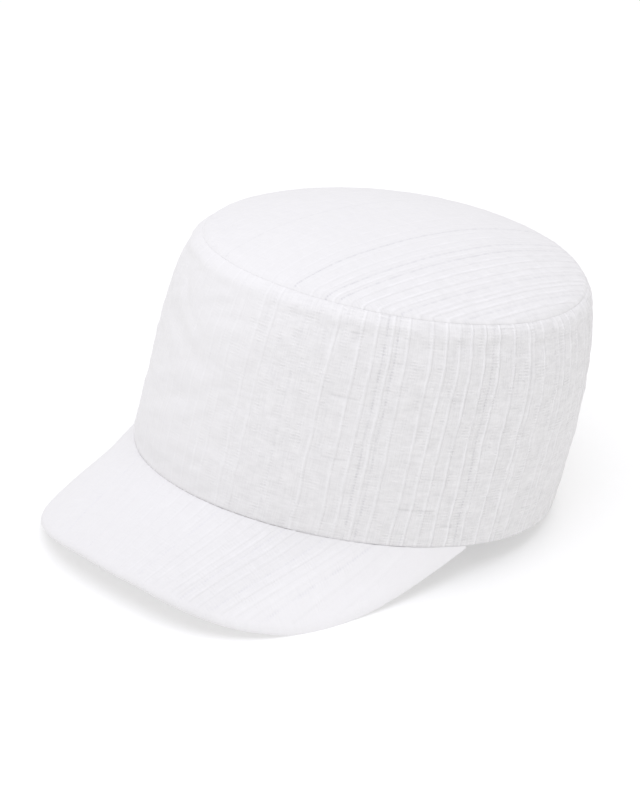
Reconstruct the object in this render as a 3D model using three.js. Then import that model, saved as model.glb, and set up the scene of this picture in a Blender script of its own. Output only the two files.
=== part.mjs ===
// A plain white cloth cap of the kind that a bellboy wears: an upright oval crown with a
// domed top panel sewn round its edge, and a short stiff peak sewn under the front of the rim.
// Millimetres, +Z up, the front of the cap faces -Y. The cap lies as it rests on a table:
// on the back of its rim and on the two front corners of its peak, so it leans back a little.
// The crown is hollow and open below.
import * as THREE from 'three';

// Crown: the rim is the oval that goes round the head, the seam is the oval of the top edge
const RIM_HALF_WIDTH = 87.1;
const RIM_HALF_LENGTH = 98.4;
const SEAM_HALF_WIDTH = 77.5;
const SEAM_HALF_LENGTH = 91.8;
const SEAM_SHIFT_BACK = 4.4;
const CROWN_HEIGHT = 95;
// The oval is this part wider behind the ears than before them
const EGG = 0.095;
// How far the wall swells out halfway up, and again just under the seam
const WALL_SWELL = 4.4;
const SHOULDER_SWELL = 1.8;
// The front and back of the rim and of the seam arch up, and the sides dip
const RIM_ARCH = 2;
const SEAM_ARCH = 2.4;
const TOP_DOME = 12;
const DOME_POWER = 2.4;
const CLOTH = 1.8;
// The seam is mitred: the inner edges of wall and top panel lie this part of the cloth lower
const MITRE = 0.6;

// Peak: its outline is a superellipse between two points on the rim
const PEAK_REACH = 39.2;
const PEAK_TURN = 78.2;
const PEAK_CORNER_POWER = 2.93;
const PEAK_WAIST = 10.5;
const PEAK_FALL = 0.584;
const PEAK_THICKNESS = 2.8;
const PEAK_LIP = 1.2;
const PEAK_TUCK = 2.4;

// How the cap lies: leaning back, pressed by its weight a little onto the table
const REST_TILT = 9.7;
const REST_PRESS = 0.9;
const SEAM_GAP = 0.3;

const TURN_STEPS = 72;
const HEIGHT_STEPS = 11;
const TOP_STEPS = 6;
const PEAK_ACROSS = 40;
const PEAK_ALONG = 6;

// Dents and folds of the crown wall. turn is in degrees from the front towards +X, height runs
// from 0 at the rim to 1 at the seam, and in is the depth inwards in millimetres. halfTurn and
// halfHeight say how far the fold spreads, and slant how much it climbs over one halfTurn.
const WALL_FOLDS = [
  { name: 'front left crease', turn: -18, height: 0.62, in: 1.6, halfTurn: 15, halfHeight: 0.06,
    slant: -0.05 },
  { name: 'front left dent', turn: -40, height: 0.45, in: 2, halfTurn: 14, halfHeight: 0.25, slant: 0.1 },
  { name: 'front flat', turn: 20, height: 0.4, in: 1.2, halfTurn: 22, halfHeight: 0.3, slant: 0 },
  { name: 'side bend', turn: 78, height: 0.7, in: 1.2, halfTurn: 6, halfHeight: 0.3, slant: 0 },
  { name: 'side bulge', turn: 100, height: 0.68, in: -1.6, halfTurn: 16, halfHeight: 0.3, slant: 0 },
  { name: 'left side dent', turn: -104, height: 0.5, in: 1.6, halfTurn: 18, halfHeight: 0.35, slant: 0.1 },
  { name: 'back dent', turn: 168, height: 0.5, in: 1.8, halfTurn: 24, halfHeight: 0.3, slant: 0 },
];

const radians = THREE.MathUtils.degToRad;

// An oval of the crown, as the point at a turn from the front, in the cap's own upright frame
function ovalPoint(halfWidth, halfLength, turn) {
  const x = halfWidth * Math.sin(turn) * (1 - EGG * Math.cos(turn));
  return new THREE.Vector3(x, -halfLength * Math.cos(turn), 0);
}

function foldDepth(turn, height) {
  let depth = 0;
  for (const fold of WALL_FOLDS) {
    const away = turn - radians(fold.turn);
    const across = Math.atan2(Math.sin(away), Math.cos(away)) / radians(fold.halfTurn);
    const up = (height - fold.height - fold.slant * across) / fold.halfHeight;
    depth += fold.in * Math.exp(-across * across - up * up);
  }
  return depth * Math.sqrt(Math.max(0, Math.sin(Math.PI * height)));
}

function rimHeight(turn) {
  return RIM_ARCH * Math.cos(2 * turn);
}

function wallPoint(turn, height) {
  const swell = WALL_SWELL * Math.sin(Math.PI * height) + SHOULDER_SWELL * Math.sin(Math.PI * height ** 3);
  const outwards = swell - foldDepth(turn, height);
  const point = ovalPoint(
    THREE.MathUtils.lerp(RIM_HALF_WIDTH, SEAM_HALF_WIDTH, height) + outwards,
    THREE.MathUtils.lerp(RIM_HALF_LENGTH, SEAM_HALF_LENGTH, height) + outwards,
    turn,
  );
  point.y += SEAM_SHIFT_BACK * height;
  point.z = (CROWN_HEIGHT - SEAM_GAP / 2) * height
    + rimHeight(turn) * (1 - height) + SEAM_ARCH * Math.cos(2 * turn) * height;
  return point;
}

// The wall's inner face lies one thickness of cloth nearer the axis
function wallInside(turn, height) {
  const point = wallPoint(turn, height);
  const axisY = SEAM_SHIFT_BACK * height;
  const radius = Math.hypot(point.x, point.y - axisY);
  const shrink = (radius - CLOTH) / radius;
  return new THREE.Vector3(
    point.x * shrink,
    axisY + (point.y - axisY) * shrink,
    point.z - MITRE * CLOTH * height,
  );
}

// The top panel at a part of the way from its middle, 0, to the seam, 1
function topPoint(turn, part) {
  const point = ovalPoint(SEAM_HALF_WIDTH * part, SEAM_HALF_LENGTH * part, turn);
  point.y += SEAM_SHIFT_BACK;
  point.z = CROWN_HEIGHT + SEAM_GAP / 2 + TOP_DOME * (1 - part ** DOME_POWER)
    + SEAM_ARCH * Math.cos(2 * turn) * part ** 2;
  return point;
}

function topInside(turn, part) {
  const point = topPoint(turn, part);
  const edge = topPoint(turn, 1);
  const radius = Math.hypot(edge.x, edge.y - SEAM_SHIFT_BACK);
  const shrink = (radius - CLOTH) / radius;
  return new THREE.Vector3(
    point.x * shrink,
    SEAM_SHIFT_BACK + (point.y - SEAM_SHIFT_BACK) * shrink,
    point.z - CLOTH * THREE.MathUtils.lerp(1, MITRE, part),
  );
}

// The turn at which the rim is this far from the cap's middle line, found by halving
function rimTurnAt(x) {
  let low = 0;
  let high = radians(PEAK_TURN);
  for (let step = 0; step < 30; step += 1) {
    const middle = (low + high) / 2;
    if (ovalPoint(RIM_HALF_WIDTH, RIM_HALF_LENGTH, middle).x < Math.abs(x)) low = middle;
    else high = middle;
  }
  return (low + high) / 2;
}

// The peak's upper face falls forward from the rim line, the same for each millimetre forward
function peakHeight(point) {
  const turn = rimTurnAt(point.x);
  const forward = Math.max(0, -RIM_HALF_LENGTH * Math.cos(turn) - point.y);
  return rimHeight(turn) - SEAM_GAP - forward * PEAK_FALL;
}

// across runs from -1 at one end of the peak to 1 at the other
function peakEdge(across) {
  const end = ovalPoint(RIM_HALF_WIDTH, RIM_HALF_LENGTH, radians(PEAK_TURN));
  const angle = across * Math.PI / 2;
  const sine = Math.sin(angle);
  const cosine = Math.max(0, Math.cos(angle));
  const power = 2 / PEAK_CORNER_POWER;
  const x = (end.x + PEAK_LIP) * Math.sign(sine) * Math.abs(sine) ** power - PEAK_WAIST * sine * cosine;
  const y = end.y - (RIM_HALF_LENGTH + PEAK_REACH + end.y) * cosine ** power;
  return new THREE.Vector3(x, y, 0);
}

// along runs from 0 at the peak's edge to 1 at the rim line; the last step tucks under the wall
function peakTop(across, along) {
  const tuckStart = (PEAK_ALONG - 1) / PEAK_ALONG;
  const turn = across * radians(PEAK_TURN);
  const root = ovalPoint(RIM_HALF_WIDTH, RIM_HALF_LENGTH, turn);
  const point = peakEdge(across).lerp(root, Math.min(1, along / tuckStart));
  point.z = peakHeight(point);
  if (along > tuckStart) {
    const shrink = 1 - PEAK_TUCK / root.length();
    point.set(root.x * shrink, root.y * shrink, rimHeight(turn) - SEAM_GAP);
  }
  return point;
}

function peakUnder(across, along) {
  const point = peakTop(across, along);
  point.z -= PEAK_THICKNESS;
  return point;
}

// A closed wall of cloth between an outer and an inner face. Both faces are functions of how
// far round (0 to 1) and how far up (0 to 1). A wall may close on itself, or end in a pole.
function clothShell({ columns, rows, closed, pole, outside, inside }) {
  const across = closed ? columns : columns + 1;
  const faceSize = (rows + 1) * across;
  const points = [];
  for (const face of [outside, inside]) {
    for (let row = 0; row <= rows; row += 1) {
      for (let column = 0; column < across; column += 1) {
        points.push(face(column / columns, row / rows));
      }
    }
  }
  const at = (face, row, column) =>
    face * faceSize + row * across + (pole && row === rows ? 0 : column % across);
  const index = [];
  const addQuad = (a, b, c, d) => {
    for (const triangle of [[a, b, c], [a, c, d]]) {
      if (new Set(triangle).size === 3) index.push(...triangle);
    }
  };
  for (let column = 0; column < columns; column += 1) {
    const next = column + 1;
    for (let row = 0; row < rows; row += 1) {
      addQuad(at(0, row, column), at(0, row, next), at(0, row + 1, next), at(0, row + 1, column));
      addQuad(at(1, row, column), at(1, row + 1, column), at(1, row + 1, next), at(1, row, next));
    }
    addQuad(at(1, 0, column), at(1, 0, next), at(0, 0, next), at(0, 0, column));
    if (!pole) addQuad(at(0, rows, column), at(0, rows, next), at(1, rows, next), at(1, rows, column));
  }
  if (!closed) {
    for (let row = 0; row < rows; row += 1) {
      addQuad(at(1, row, 0), at(0, row, 0), at(0, row + 1, 0), at(1, row + 1, 0));
      addQuad(at(0, row, columns), at(1, row, columns), at(1, row + 1, columns), at(0, row + 1, columns));
    }
  }
  return { points, index };
}

const fullTurn = 2 * Math.PI;
const pieces = {
  crown_side: clothShell({
    columns: TURN_STEPS,
    rows: HEIGHT_STEPS,
    closed: true,
    pole: false,
    outside: (round, up) => wallPoint(round * fullTurn, up),
    inside: (round, up) => wallInside(round * fullTurn, up),
  }),
  crown_top: clothShell({
    columns: TURN_STEPS,
    rows: TOP_STEPS,
    closed: true,
    pole: true,
    outside: (round, inwards) => topPoint(round * fullTurn, 1 - inwards),
    inside: (round, inwards) => topInside(round * fullTurn, 1 - inwards),
  }),
  peak: clothShell({
    columns: PEAK_ACROSS,
    rows: PEAK_ALONG,
    closed: false,
    pole: false,
    outside: (across, along) => peakTop(2 * across - 1, along),
    inside: (across, along) => peakUnder(2 * across - 1, along),
  }),
};

// Leans the cap back, sets it down on the table and flattens the cloth that the table presses
function layDown(parts) {
  const box = new THREE.Box3();
  const tilt = new THREE.Matrix4().makeRotationX(-radians(REST_TILT));
  for (const { points } of parts) {
    for (const point of points) box.expandByPoint(point.applyMatrix4(tilt));
  }
  const shift = new THREE.Vector3(0, -(box.min.y + box.max.y) / 2, -box.min.z - REST_PRESS);
  for (const { points } of parts) {
    for (const point of points) {
      point.add(shift);
      point.z = Math.max(0, point.z);
    }
  }
}

function clothGeometry({ points, index }) {
  const geometry = new THREE.BufferGeometry().setFromPoints(points);
  geometry.setIndex(index);
  geometry.computeVertexNormals();
  return geometry;
}

layDown(Object.values(pieces));

const WHITE_COTTON = { color: '#f4f4f2', roughness: 0.9, metalness: 0 };
const cap = new THREE.Group();
cap.name = 'bellboy_cap';
for (const [name, shell] of Object.entries(pieces)) {
  const mesh = new THREE.Mesh(clothGeometry(shell), new THREE.MeshStandardMaterial(WHITE_COTTON));
  mesh.name = name;
  cap.add(mesh);
}

export default cap;
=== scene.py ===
# %% [markdown]
# # A white bellboy cap
# The cap is an upright oval crown with a domed top panel and a short stiff peak, all in one white
# cotton cloth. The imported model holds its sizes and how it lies. This lesson dresses that model:
# each solid is replaced by finer cloth with raised cords, openwork columns and soft folds.

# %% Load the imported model
import math
from functools import partial
import bpy
import numpy as np
from mathutils import Matrix, Vector, noise


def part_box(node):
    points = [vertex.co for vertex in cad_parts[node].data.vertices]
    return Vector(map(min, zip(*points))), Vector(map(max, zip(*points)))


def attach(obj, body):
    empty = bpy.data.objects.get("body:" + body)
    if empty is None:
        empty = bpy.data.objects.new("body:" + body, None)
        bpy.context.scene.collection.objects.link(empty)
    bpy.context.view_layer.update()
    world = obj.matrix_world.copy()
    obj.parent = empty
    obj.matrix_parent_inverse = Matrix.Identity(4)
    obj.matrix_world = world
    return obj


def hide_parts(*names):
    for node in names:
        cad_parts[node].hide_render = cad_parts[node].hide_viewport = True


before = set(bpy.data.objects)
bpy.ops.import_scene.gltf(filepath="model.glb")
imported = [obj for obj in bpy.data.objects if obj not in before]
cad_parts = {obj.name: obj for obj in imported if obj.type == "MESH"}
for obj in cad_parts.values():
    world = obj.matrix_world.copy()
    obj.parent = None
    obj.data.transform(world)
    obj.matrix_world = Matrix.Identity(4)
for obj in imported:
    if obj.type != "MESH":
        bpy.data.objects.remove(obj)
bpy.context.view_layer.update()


# %% [markdown]
# ## Camera
# The picture was taken from the cap's front left corner, from above, with a long lens and the
# cap turned a little in the frame. A camera is a point, a direction and a roll, so the three axes
# of its matrix are worked out from two angles and the roll, and the lens sets the size in frame.

# %% Camera
CAMERA_TURN = math.radians(38.88)
CAMERA_RISE = math.radians(27.93)
CAMERA_ROLL = math.radians(5.5)
CAMERA_DISTANCE = 1.2937
LENS_MM = 172.9
SENSOR_MM = 36.0
AIM_HEIGHT = 0.060
AIM_RIGHT = -0.0033
AIM_UP = -0.0143

back = Vector((
    math.sin(CAMERA_TURN) * math.cos(CAMERA_RISE),
    -math.cos(CAMERA_TURN) * math.cos(CAMERA_RISE),
    math.sin(CAMERA_RISE),
))
level_right = Vector((math.cos(CAMERA_TURN), math.sin(CAMERA_TURN), 0))
level_up = back.cross(level_right)
right = level_right * math.cos(CAMERA_ROLL) + level_up * math.sin(CAMERA_ROLL)
up = level_up * math.cos(CAMERA_ROLL) - level_right * math.sin(CAMERA_ROLL)
aim = Vector((0, 0, AIM_HEIGHT)) + right * AIM_RIGHT + up * AIM_UP

bpy.ops.object.camera_add()
camera = bpy.context.object
camera.name = "camera"
axes = Matrix((right, up, back)).transposed().to_4x4()
camera.matrix_world = Matrix.Translation(aim + back * CAMERA_DISTANCE) @ axes
camera.data.sensor_fit = "HORIZONTAL"
camera.data.sensor_width = SENSOR_MM
camera.data.lens = LENS_MM
camera.data.clip_end = 20
bpy.context.scene.camera = camera
print("camera at", [round(value, 3) for value in camera.matrix_world.translation])

# %% [markdown]
# ## The cap's shape
# The crown is made of ovals: one round the rim, one round the seam of the top panel, and all
# those between. Each function below takes arrays, so one call places a whole grid of points.
# Sizes are millimetres in the cap's own upright frame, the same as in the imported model.

# %% Crown sizes and ovals
RIM_HALF_WIDTH, RIM_HALF_LENGTH = 87.1, 98.4
SEAM_HALF_WIDTH, SEAM_HALF_LENGTH = 77.5, 91.8
SEAM_SHIFT_BACK = 4.4
CROWN_HEIGHT = 95.0
EGG = 0.095
WALL_SWELL = 4.4
SHOULDER_SWELL = 1.8
RIM_ARCH = 2.0
SEAM_ARCH = 2.4
TOP_DOME = 12.0
DOME_POWER = 2.4
CLOTH = 1.8
MITRE = 0.6
SEAM_GAP = 0.3
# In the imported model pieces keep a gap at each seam. Sewn cloth is pressed together there.
PRESSED_GAP = 0.02


def oval(half_width, half_length, turn):
    """The x and y of an oval of the crown at a turn from the front, in radians."""
    return half_width * np.sin(turn) * (1 - EGG * np.cos(turn)), -half_length * np.cos(turn)


def blend(start, end, part):
    return start + (end - start) * part


def smooth_step(low, high, value):
    part = np.clip((value - low) / (high - low), 0, 1)
    return part * part * (3 - 2 * part)


# %% Folds of the wall
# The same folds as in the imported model, then finer creases that only the cloth shows. A row is
# a turn in degrees, a height from 0 to 1, a depth, a half turn, a half height and a slant.
MAIN_FOLDS = (
    (-18, 0.62, 1.6, 15, 0.06, -0.05),
    (-40, 0.45, 2.0, 14, 0.25, 0.10),
    (20, 0.40, 1.2, 22, 0.30, 0.00),
    (78, 0.70, 1.2, 6, 0.30, 0.00),
    (100, 0.68, -1.6, 16, 0.30, 0.00),
    (-104, 0.50, 1.6, 18, 0.35, 0.10),
    (168, 0.50, 1.8, 24, 0.30, 0.00),
)
FINE_CREASES = (
    (-24, 0.80, 0.7, 6, 0.035, -0.06),
    (-12, 0.70, 0.6, 9, 0.030, -0.05),
    (-14, 0.38, 0.5, 8, 0.040, 0.04),
    (4, 0.24, 0.5, 9, 0.035, 0.03),
    (76, 0.60, 0.5, 2.2, 0.34, 0.00),
    (84.5, 0.80, 0.7, 2.6, 0.16, 0.00),
    (86, 0.26, 0.6, 1.6, 0.14, 0.00),
    (97, 0.45, 0.5, 2.4, 0.24, 0.00),
    (92, 0.90, 0.5, 6, 0.030, 0.02),
    (120, 0.30, 0.8, 7, 0.200, 0.05),
    (146, 0.62, 0.8, 9, 0.160, -0.05),
    (-75, 0.66, 0.8, 8, 0.180, 0.06),
    (-130, 0.36, 0.9, 9, 0.200, -0.04),
    (-158, 0.70, 0.7, 8, 0.140, 0.05),
)


def fold_depth(turn, height, folds):
    depth = np.zeros_like(turn)
    for fold_turn, middle, deepest, half_turn, half_height, slant in folds:
        away = turn - math.radians(fold_turn)
        across = np.arctan2(np.sin(away), np.cos(away)) / math.radians(half_turn)
        rise = (height - middle - slant * across) / half_height
        depth += deepest * np.exp(-across**2 - rise**2)
    return depth * np.sqrt(np.clip(np.sin(np.pi * np.clip(height, 0, 1)), 0, None))


# %% Wall and top panel as functions
CORRECTIONS = 9


def wall_point(turn, height, folds=MAIN_FOLDS + FINE_CREASES):
    """Points of the wall's outer face, for a turn from the front and a height from 0 to 1."""
    inside = np.clip(height, 0, 1)
    swell = WALL_SWELL * np.sin(np.pi * inside) + SHOULDER_SWELL * np.sin(np.pi * inside**3)
    outwards = swell - fold_depth(turn, inside, folds)
    x, y = oval(
        blend(RIM_HALF_WIDTH, SEAM_HALF_WIDTH, height) + outwards,
        blend(RIM_HALF_LENGTH, SEAM_HALF_LENGTH, height) + outwards,
        turn,
    )
    arch = blend(RIM_ARCH, SEAM_ARCH, inside) * np.cos(2 * turn)
    z = (CROWN_HEIGHT - SEAM_GAP / 2) * height + arch
    return np.stack([x, y + SEAM_SHIFT_BACK * height, z], -1)


def top_point(turn, part):
    """Points of the top panel, for a turn from the front and a part of the way to the seam."""
    x, y = oval(SEAM_HALF_WIDTH * part, SEAM_HALF_LENGTH * part, turn)
    arch = SEAM_ARCH * np.cos(2 * turn) * part**2
    z = CROWN_HEIGHT + SEAM_GAP / 2 + TOP_DOME * (1 - part**DOME_POWER) + arch
    return np.stack([x, y + SEAM_SHIFT_BACK, z], -1)


def top_place(x, y):
    """The turn and part of the top panel over a plan point, found by repeated correction."""
    forward = -(y - SEAM_SHIFT_BACK) / SEAM_HALF_LENGTH
    sideways = x / SEAM_HALF_WIDTH
    for _ in range(CORRECTIONS):
        turn = np.arctan2(sideways, forward)
        sideways = x / SEAM_HALF_WIDTH / (1 - EGG * np.cos(turn))
    return turn, np.hypot(sideways, forward)


# %% Soft shoulder at the seam
# Cloth can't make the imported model's crisp corner. The same shift rounds the wall and the panel.
SHOULDER_DRAW, HELD_BY_GROOVE = 1.32, 0.96
SHOULDER_REACH = 6.0
FAINT_GROOVE, FULL_GROOVE = 0.04, 0.7
# Turns in degrees over which the groove grows to full on the one side and fades on the other
GROOVE_GROWS, GROOVE_FADES = (5, 70), (-150, -70)


def seam_depth(turn):
    """How deep the seam's groove is: full on the right of the picture, faint at the front left."""
    degrees = np.degrees(np.arctan2(np.sin(turn), np.cos(turn)))
    full = smooth_step(*GROOVE_GROWS, degrees) + 1 - smooth_step(*GROOVE_FADES, degrees)
    return blend(FAINT_GROOVE, FULL_GROOVE, full)


def round_shoulder(points, turn, from_seam, direction):
    """Draws points near the seam inwards and down, most where the groove is faint."""
    near = np.clip(1 - from_seam / SHOULDER_REACH, 0, 1)
    draw = (SHOULDER_DRAW - HELD_BY_GROOVE * seam_depth(turn)) * near**2
    rounded = points - direction * draw[..., None]
    rounded[..., 2] -= draw
    return rounded


# %% Peak as a function
PEAK_REACH = 40.0
PEAK_TURN = math.radians(80.2)
PEAK_CORNER_POWER = 2.93
PEAK_WAIST = 10.5
PEAK_FALL = 0.584
PEAK_THICKNESS = 2.8
PEAK_LIP = 1.2
PEAK_TUCK = 2.4
# The cloth draws the sides of the edge in. The draw is greatest DRAW_AHEAD in front of the
# peak's ends, and fades over FADE_BEHIND towards them and over FADE_BEFORE towards the corners.
SIDE_DRAW, DRAW_AHEAD = 2.6, 30
FADE_BEHIND, FADE_BEFORE = 30, 47
# The board is also set: lower in front and at the sides, and higher between them. A set has a
# height, and ends where it grows from nothing to full, or a place and a half width.
BOARD_SET_FORWARD = (10, 36)
FRONT_SET, FRONT_SET_WIDTH = -1.7, 14
SHOULDER_SET, SHOULDER_SET_X, SHOULDER_SET_WIDTH = 1.5, 44.5, 18
CORNER_SET, CORNER_SET_Y = -1.7, -88
SIDE_SET, SIDE_SET_Y = -2.6, -58
SIDE_SET_X, SIDE_SET_FORWARD = (60, 74), (3, 20)
ROOT_REACH = 8

front_turns = np.linspace(0, PEAK_TURN, 400)
front_rim_x, front_rim_y = oval(RIM_HALF_WIDTH, RIM_HALF_LENGTH, front_turns)


def peak_edge(across):
    """Plan points of the peak's edge, across from -1 to 1."""
    end_x, end_y = front_rim_x[-1], front_rim_y[-1]
    sine, cosine = np.sin(across * np.pi / 2), np.clip(np.cos(across * np.pi / 2), 0, None)
    power = 2 / PEAK_CORNER_POWER
    x = (end_x + PEAK_LIP) * np.sign(sine) * np.abs(sine)**power - PEAK_WAIST * sine * cosine
    y = end_y - (RIM_HALF_LENGTH + PEAK_REACH + end_y) * cosine**power
    past = end_y - y - DRAW_AHEAD
    fade = np.where(past < 0, FADE_BEHIND, FADE_BEFORE)
    x -= SIDE_DRAW * np.exp(-(past / fade)**2) * sine
    return x, y


def peak_height(x, y):
    """The peak's upper face falls forward from the rim line, and follows the set of its board."""
    side = np.abs(x)
    turn = np.interp(side, front_rim_x, front_turns)
    forward = np.clip(-RIM_HALF_LENGTH * np.cos(turn) - y, 0, None)
    board_set = FRONT_SET * np.exp(-(side / FRONT_SET_WIDTH)**2)
    board_set += SHOULDER_SET * np.exp(-((side - SHOULDER_SET_X) / SHOULDER_SET_WIDTH)**2)
    board_set *= smooth_step(*BOARD_SET_FORWARD, forward)
    side_set = blend(CORNER_SET, SIDE_SET, smooth_step(CORNER_SET_Y, SIDE_SET_Y, y))
    side_set *= smooth_step(*SIDE_SET_X, side) * smooth_step(*SIDE_SET_FORWARD, forward)
    root_lift = (SEAM_GAP - PRESSED_GAP) * (1 - smooth_step(0, ROOT_REACH, forward))
    level = RIM_ARCH * np.cos(2 * turn) - SEAM_GAP - forward * PEAK_FALL
    return level + board_set + side_set + root_lift


# %% [markdown]
# ## Laying the cap down
# On a table the cap leans back onto the rear of its rim and stands on the peak's two corners.
# The lean is the model's own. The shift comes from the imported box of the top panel, so that the
# cloth lies exactly where its solid does.

# %% From the cap's frame to the table
REST_TILT = math.radians(9.7)
MM = 0.001


def lean_back(points):
    x, y, z = points[..., 0], points[..., 1], points[..., 2]
    sine, cosine = math.sin(REST_TILT), math.cos(REST_TILT)
    return np.stack([x, y * cosine + z * sine, z * cosine - y * sine], -1)


panel_turns, panel_parts = np.meshgrid(np.radians(np.arange(0, 360, 5)), np.linspace(0, 1, 7))
panel = lean_back(top_point(panel_turns, panel_parts)).reshape(-1, 3)
panel_high = np.array(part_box("crown_top")[1]) / MM
table_shift = np.array([0, panel_high[1] - panel[:, 1].max(), panel_high[2] - panel[:, 2].max()])
print("the cap's rim stands", table_shift.round(2), "mm from its own origin")


def on_table(points):
    """Leans points back, sets them on the table in metres, and presses flat what is below it."""
    placed = (lean_back(points) + table_shift) * MM
    placed[..., 2] = np.maximum(placed[..., 2], 0)
    return placed


# %% [markdown]
# ## The stripes
# The cloth is a white stripe cloth: raised cords run up the wall every six millimetres or so, and
# here and there a column of warp threads is left out, which leaves an openwork ladder. The chart
# holds the stripes that the picture shows. Round the back the same spacing goes on from a seed.

# %% Chart of the wall's stripes
# Each pair is a turn from the front in degrees and how strong the stripe is
WALL_LADDERS = (
    (11.8, 0.2), (23.5, 0.35), (27, 0.25), (35, 0.25), (46.2, 0.85), (49.3, 0.85),
    (75.3, 0.9), (84, 0.4), (97, 0.4),
)
WALL_CORDS = (
    (9.8, 0.5), (14, 0.5), (32.5, 0.6), (39.5, 0.7), (43.5, 0.7), (47.7, 0.8), (52, 0.7),
    (58, 0.8), (61.5, 0.9), (65, 0.8), (68.5, 1), (72.5, 1), (77, 1), (82, 1), (87, 0.9),
    (88.5, 0.6), (92.3, 0.8), (98.3, 0.7), (100.6, 0.9), (104, 0.8), (108, 0.8),
)
CHART_END = 111.5
CENTRE_BACK = 180.0
SEAM_CLEAR = 2.5
# The unseen rest of the wall, in the same degrees: up to 292 it has ladders too
BACK_LADDERS_END, CHART_START = 292, 366.5
BACK_SPACING, BACK_LADDER_SHARE = 3.9, 0.22
SPACING_SPREAD, STRENGTH_SPREAD = (0.72, 1.25), (0.55, 1.0)
dice = np.random.default_rng(26)


def more_stripes(start, stop, ladder_share):
    """Cords and ladders at about one spacing from start to stop, each with its strength."""
    cords, ladders = [], []
    place = start + BACK_SPACING / 2
    while place < stop:
        strength = dice.uniform(*STRENGTH_SPREAD)
        if dice.random() < ladder_share:
            ladders.append((place, strength))
        else:
            cords.append((place, strength))
        place += BACK_SPACING * dice.uniform(*SPACING_SPREAD)
    return cords, ladders


back_cords, back_ladders = [], []
for start, stop, ladder_share in (
    (CHART_END, CENTRE_BACK - SEAM_CLEAR, BACK_LADDER_SHARE),
    (CENTRE_BACK + SEAM_CLEAR, BACK_LADDERS_END, BACK_LADDER_SHARE),
    (BACK_LADDERS_END, CHART_START, 0.0),
):
    cords, ladders = more_stripes(start, stop, ladder_share)
    back_cords += cords
    back_ladders += ladders
print(len(WALL_CORDS) + len(back_cords), "cords and",
      len(WALL_LADDERS) + len(back_ladders), "ladders round the wall")

# %% Columns that follow the stripes
# A cord is narrower than two millimetres, so the mesh has six columns of points at each stripe
# and wider squares between them. That shows the cords as real relief with few triangles.
STRIPE_COLUMNS = (-0.9, -0.45, 0, 0.45, 0.9, 1.35)
STRIPE_HALF_WIDTH = 0.9
OPEN_PITCH = 1.15
END_MARGIN, LEAST_STEP, CLEARANCE = 2, 0.12, 0.05


def stripe_columns(stripes, start, stop):
    """Places of the mesh columns from start to stop, in millimetres across the cloth."""
    zones = [centre for centre, _ in sorted(stripes)
             if start + END_MARGIN < centre < stop - END_MARGIN]
    places = [start]
    for centre in zones + [stop + STRIPE_HALF_WIDTH]:
        gap_end = centre - STRIPE_HALF_WIDTH
        if gap_end > places[-1]:
            steps = max(1, round((gap_end - places[-1]) / OPEN_PITCH))
            places += list(np.linspace(places[-1], gap_end, steps + 1)[1:-1])
        if centre < stop:
            places = [place for place in places if place < gap_end - CLEARANCE]
            places += [centre + offset for offset in STRIPE_COLUMNS]
    places = np.array(sorted(set(np.round(places + [stop], 3))))
    return places[np.concatenate([[True], np.diff(places) > LEAST_STEP])]


def crowded_columns(stripes, half, end_columns):
    """Places of the columns of a rounded piece from -half to half, crowded at its ends."""
    ends = half * np.cos(np.radians(np.arange(1, end_columns)))
    middle = stripe_columns(stripes, -ends[-1], ends[-1])
    return np.concatenate([[-half], -ends[:-1], middle, ends[-2::-1], [half]])


def stripe_profile(places, stripes, sharpness=1.0, half_width=STRIPE_HALF_WIDTH):
    """How strongly the stripes show at each place: 1 on the middle of a full stripe."""
    profile = np.zeros_like(places)
    for centre, strength in stripes:
        near = np.clip(1 - np.abs(places - centre) / half_width, 0, None)
        profile = np.maximum(profile, strength * near**sharpness)
    return profile


FRINGE_REACH = 3.6
SHADE_PLACE, SHADE_REACH = 0.9, 0.45


def cord_painted_shade(places, cords):
    """A line of painted shade along one side of each cord, the side turned away from the lamp."""
    return stripe_profile(places - SHADE_PLACE, cords, half_width=SHADE_REACH)


def fringe_profile(places, ladders):
    """How near a ladder each place is. Beside a ladder the crosswise threads bunch into ribs."""
    return stripe_profile(places, ladders, half_width=FRINGE_REACH)


# %% [markdown]
# ## From flat cloth to a sewn shape
# Each piece starts as a flat grid, as cloth starts flat. Its points are then laid on the piece's
# surface, round the edge and back along the inside, so that one grid makes a closed shell with
# soft edges. The UV map keeps the millimetres of the flat cloth, and every weave pattern reads it.

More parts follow.
